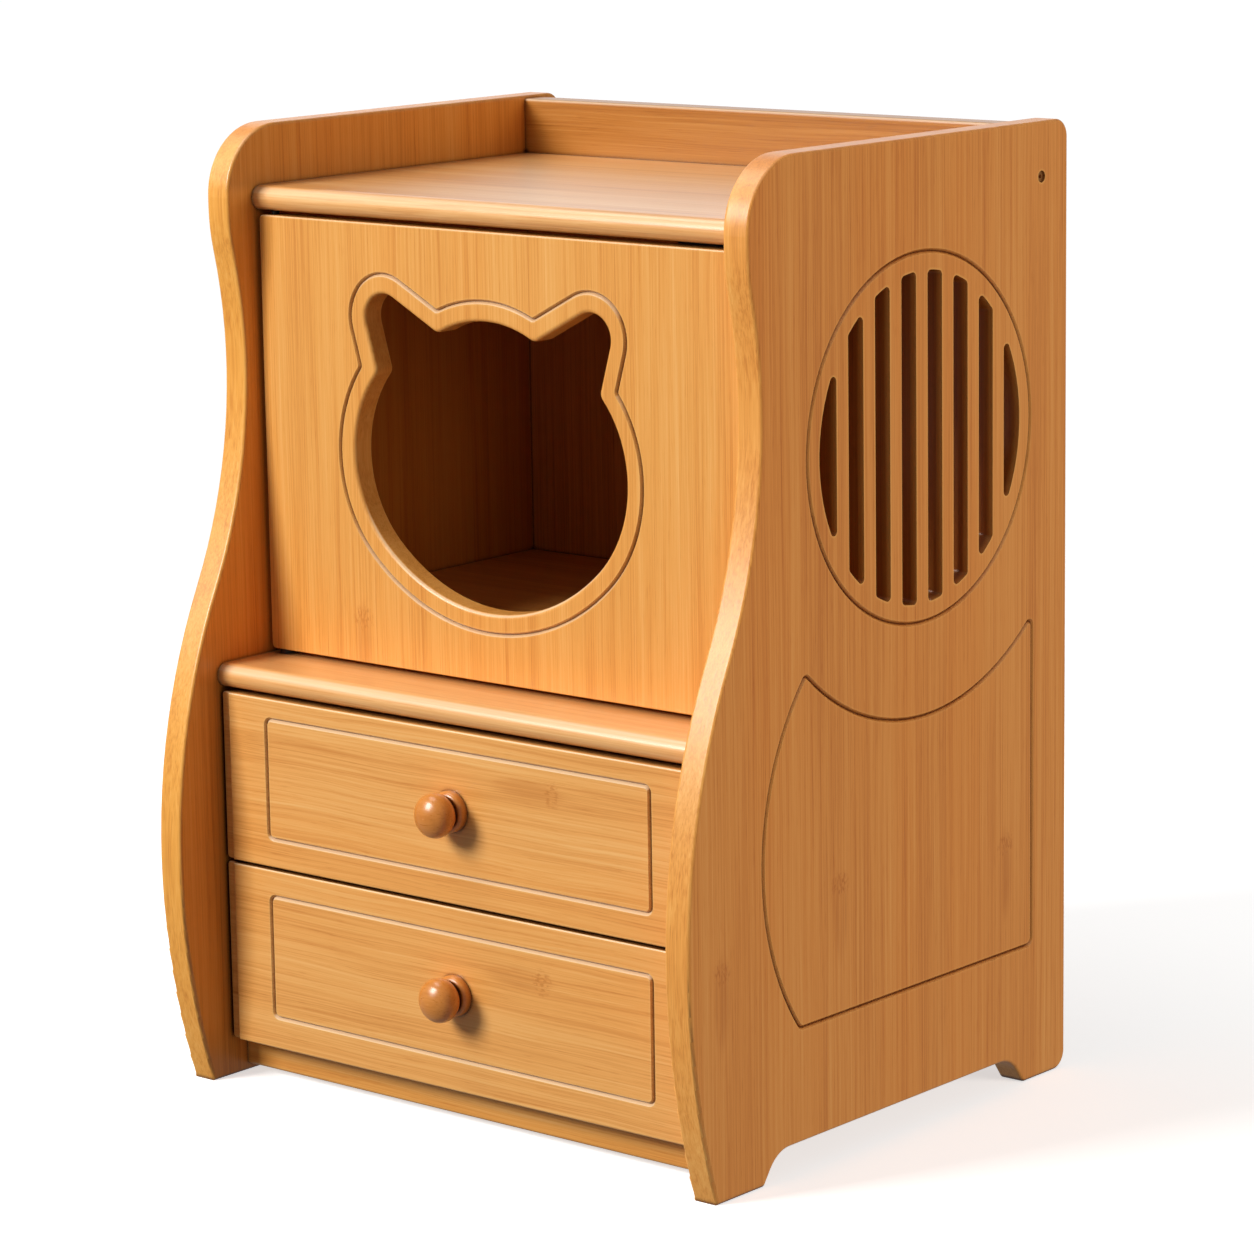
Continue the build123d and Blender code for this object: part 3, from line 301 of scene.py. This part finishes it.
# Where shade is painted on the side panels, in metres
vent_y, vent_z, vent_radius = 0.036, 0.415, 0.1
room_front, room_bottom, room_top = -0.1, 0.25, 0.548
left_inner_face = (-0.196, -0.1925)
right_outer_skin = (0.2092, 0.2045)


def in_room(t, axis):
    """One on the left panel's face inside the cat room, where shade is painted on the wood."""
    front = t.smooth(axis["Y"], room_front, room_front + 0.01)
    low = t.smooth(axis["Z"], room_bottom, room_bottom + 0.012)
    high = t.smooth(axis["Z"], room_top, room_top - 0.01)
    return t.times(t.times(front, t.smooth(axis["X"], *left_inner_face)), t.times(low, high))


def in_gallery(t, axis):
    """One on the left panel's inner face above the top board, where shade is painted."""
    return t.times(t.smooth(axis["X"], *left_inner_face), t.smooth(axis["Z"], room_top, room_top + 0.008))


def in_vent(t, axis):
    """One on the walls of the vent's slots, where shade is painted, growing with the depth below the face."""
    across, up = t.math("SUBTRACT", axis["Y"], vent_y), t.math("SUBTRACT", axis["Z"], vent_z)
    far = t.math("SQRT", t.ellipse(across, up, 1.0, 1.0))
    return t.times(t.smooth(far, vent_radius + 0.003, vent_radius), t.smooth(axis["X"], *right_outer_skin))


def on_front_edge(t, axis):
    """One on faces that look toward the front, such as a panel's front edge, which are made paler and
    yellower.
    """
    return t.smooth(t.facing()[1], -0.45, -0.8)


forward_paling = (on_front_edge, (1.08, 1.26, 1.32))
shade_plan = {
    "side_panel_left": ((in_room, (0.5, 0.4, 0.3)), (in_gallery, (0.8, 0.78, 0.76)), forward_paling),
    "side_panel_right": ((in_vent, (0.5, 0.36, 0.22)), forward_paling),
}
usual_coat, usual_highlight, usual_gloss, knob_gloss = 0.22, 0.4, 0.36, 0.3
coat_plan = {
    "top_board": 0.6,
    "mid_shelf": 0.7,
    "upper_knob": 0.4,
    "lower_knob": 0.4,
    "side_panel_right": 0.1,
}
# How strong each piece's painted highlight on faces that look up is
highlight_plan = {
    "top_board": 0.28,
    "mid_shelf": 0.34,
    "side_panel_left": 0.12,
    "side_panel_right": 0.1,
    "upper_knob": 0.0,
    "lower_knob": 0.0,
    "upper_front": 0.5,
    "lower_front": 0.5,
}

steel = metal("zinc_plated_steel", srgb(196, 196, 200), 0.32, 900.0)
brass = metal("turned_brass", srgb(206, 170, 96), 0.3, 900.0)
bronze = metal("bronzed_steel", srgb(222, 158, 92), 0.5, 900.0)
black_steel = metal("blackened_steel", srgb(44, 40, 38), 0.5, 900.0)
zinc = metal("cast_zinc", srgb(160, 160, 164), 0.45, 700.0)
nylon = moulded("dark_nylon", srgb(38, 34, 31), 0.45)
ferrite = moulded("ferrite", srgb(52, 52, 54), 0.6)
other_plan = {
    "cam_bolts": brass,
    "gallery_screws": bronze,
    "batten_screws": black_steel,
    "pivot_pins": black_steel,
    "strike_plate": black_steel,
    "strike_screw": black_steel,
    "top_bush": brass,
    "bottom_bush": brass,
    "cam_discs": zinc,
    "catch_body": nylon,
    "thrust_washer": nylon,
    "catch_magnet": ferrite,
}

seed_step = 0.731
for i, (name, piece) in enumerate(sorted(nodes.items())):
    if name in wood_plan:
        finish = bamboo(
            f"bamboo_{name}",
            *wood_plan[name],
            seed=i * seed_step,
            gloss=knob_gloss if name.endswith("knob") else usual_gloss,
            coat=coat_plan.get(name, usual_coat),
            highlight_weight=highlight_plan.get(name, usual_highlight),
            shades=shade_plan.get(name, ()),
        )
    else:
        finish = other_plan.get(name, steel)
    piece.data.materials.clear()
    piece.data.materials.append(finish)


# Eased edges on the boards that the CAD leaves sharp
board_ease, back_ease = 0.0006, 0.0005
for name in ("top_board", "mid_shelf", "gallery_rail", "base_rail", "cat_floor", "back_panel", "bottom_board"):
    bevel = nodes[name].modifiers.new("eased", "BEVEL")
    bevel.width = back_ease if name == "back_panel" else board_ease
    bevel.segments = 2
    bevel.limit_method = "ANGLE"
    bevel.angle_limit = math.radians(50)
    bevel.harden_normals = False


# Studio: a pale floor that fades out, white surroundings, soft lights and the camera
def disc(name, radii, segments):
    """A flat round sheet on the ground, in rings from its middle outward."""
    mesh = bpy.data.meshes.new(name)
    work = bmesh.new()
    turn = [2 * math.pi * k / segments for k in range(segments)]
    rings = [[work.verts.new((0, 0, 0))] * segments]
    for radius in radii:
        rings.append([work.verts.new((radius * math.cos(a), radius * math.sin(a), 0)) for a in turn])
    for inner, outer in zip(rings, rings[1:]):
        for k in range(segments):
            after = (k + 1) % segments
            corners = [inner[k], outer[k], outer[after], inner[after]]
            work.faces.new(list(dict.fromkeys(corners)))
    work.to_mesh(mesh)
    work.free()
    mesh.polygons.foreach_set("use_smooth", [True] * len(mesh.polygons))
    made = bpy.data.objects.new(name, mesh)
    bpy.context.scene.collection.objects.link(made)
    return made


fade_from, fade_to = 0.7, 2.4
floor = disc("studio_floor", (0.6, 1.2, 2.4, 4.0), 96)
paper, t, shader = new_material("pale_paper")
where = t.place()
speckle = t.noise(where, 900.0, 2.0)
t.tree.links.new(t.mix(speckle, (0.9, 0.9, 0.9), (0.93, 0.93, 0.93)), shader.inputs["Base Color"])
from_middle = t.node("ShaderNodeVectorMath", {0: where}, operation="LENGTH").outputs["Value"]
t.tree.links.new(t.smooth(from_middle, fade_from, fade_to, 1.0, 0.0), shader.inputs["Alpha"])
shader.inputs["Emission Color"].default_value = (1.0, 1.0, 1.0, 1.0)
shader.inputs["Emission Strength"].default_value = 0.6
shader.inputs["Roughness"].default_value = 0.9
shader.inputs["Specular IOR Level"].default_value = 0.1
floor.data.materials.append(paper)
floor.visible_diffuse = False
floor.visible_glossy = False

# The white surroundings show in full, but light the object's shaded sides only softly
seen, mirrored, scattered = 1.02, 0.3, 0.15
world = bpy.data.worlds.new("studio_world")
bpy.context.scene.world = world
world.use_nodes = True
sky = Tree(world.node_tree)
background = world.node_tree.nodes["Background"]
background.inputs["Color"].default_value = (1.0, 1.0, 1.0, 1.0)
path = sky.node("ShaderNodeLightPath")
dimmed = sky.math("MULTIPLY_ADD", path.outputs["Is Camera Ray"], seen - mirrored, mirrored)
dimmed = sky.math("MULTIPLY_ADD", path.outputs["Is Diffuse Ray"], scattered - mirrored, dimmed)
world.node_tree.links.new(dimmed, background.inputs["Strength"])


def soft_light(name, place, target, size, energy, colour=(1, 1, 1), height=None):
    """A rectangular soft box that looks at a point."""
    data = bpy.data.lights.new(name, "AREA")
    data.shape = "RECTANGLE"
    data.size = size
    data.size_y = height or size
    data.energy = energy
    data.color = colour
    made = bpy.data.objects.new(name, data)
    made.location = place
    made.rotation_mode = "QUATERNION"
    made.rotation_quaternion = (Vector(target) - Vector(place)).to_track_quat("-Z", "Y")
    bpy.context.scene.collection.objects.link(made)
    return made


middle_point, back_point = (0, 0, 0.3), (0.1, 0, 0.55)
soft_light("key_left", (-1.7, -3.3, 2.3), middle_point, 1.5, 172.0, (1.0, 0.985, 0.96))
soft_light("top_box", (-0.8, -0.5, 2.4), middle_point, 1.4, 14.0, height=0.9)
side_box = soft_light("side_box", (2.8, 0.6, 0.85), middle_point, 1.2, 38.0, (1.0, 0.955, 0.9))
side_box.visible_glossy = False
sheen_panel = soft_light("sheen_panel", (-2.6, 3.0, 2.0), back_point, 2.4, 16.0)
sheen_panel.visible_diffuse = False
bpy.context.scene.view_settings.view_transform = "Standard"

camera_place = (1.7539, -2.0643, 0.8206)
yaw, pitch, roll = (math.radians(a) for a in (40.133, 11.199, -0.888))
camera_data = bpy.data.cameras.new("photo_camera")
camera = bpy.data.objects.new("photo_camera", camera_data)
bpy.context.scene.collection.objects.link(camera)
bpy.context.scene.camera = camera
camera_data.sensor_width = 36.0
camera_data.lens = 129.8
camera_data.clip_end = 60.0
ahead = Vector((-math.sin(yaw) * math.cos(pitch), math.cos(yaw) * math.cos(pitch), -math.sin(pitch)))
right = Vector((math.cos(yaw), math.sin(yaw), 0))
up = right.cross(ahead)
right, up = (
    right * math.cos(roll) + up * math.sin(roll),
    up * math.cos(roll) - right * math.sin(roll),
)
turn = Matrix((right, up, -ahead)).transposed().to_4x4()
camera.matrix_world = Matrix.Translation(camera_place) @ turn
